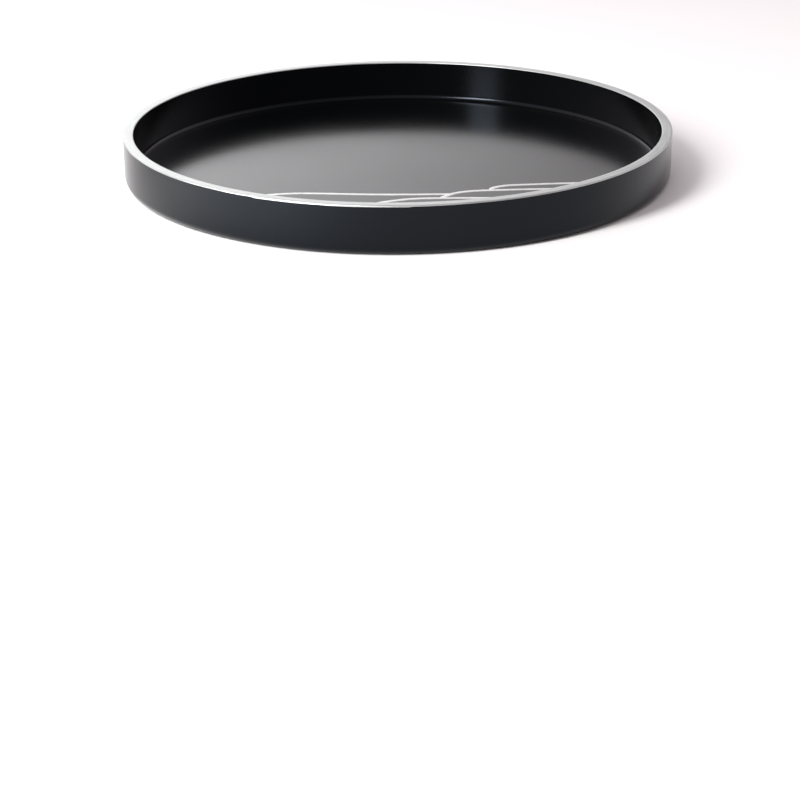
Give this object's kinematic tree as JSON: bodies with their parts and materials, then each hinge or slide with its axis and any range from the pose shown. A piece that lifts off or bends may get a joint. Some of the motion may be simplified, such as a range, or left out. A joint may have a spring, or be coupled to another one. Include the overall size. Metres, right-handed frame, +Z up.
{
  "type": "serving tray",
  "caption": "Round flat serving tray with a low upright wall, black satin lacquer, a silver rim and raised silver mist lines on the floor.",
  "frame": {"origin": "centre of the underside, on the surface that the tray rests on", "axes": "+Z up out of the tray's well; the mist lines lie on the -Y side of the floor, and +X is to the right when they are nearest"},
  "size_m": [0.3, 0.3, 0.026],
  "materials": {
    "fibreboard": "raw wood-fibre board, sealed under the lacquer",
    "bentwood": "thin steam-bent strip with long straight grain",
    "filler": "matt sanded filler",
    "black_lacquer": "satin black lacquer with a soft mirror reflection",
    "silver_rim": "silver powder lacquer, brushed along the rim",
    "silver_line": "silver powder lacquer, laid on with a brush"
  },
  "bodies": {
    "root": {"base_board": "fibreboard", "hoop_inner_strip": "bentwood", "hoop_middle_strip": "bentwood", "hoop_outer_strip": "bentwood", "corner_fillet": "filler", "inner_lacquer": "black_lacquer", "outer_wall_lacquer": "black_lacquer", "underside_lacquer": "black_lacquer", "rim_silver": "silver_rim", "mist_line_1": "silver_line", "mist_line_2": "silver_line", "mist_line_3": "silver_line", "mist_line_4": "silver_line"}
  },
  "joints": []
}
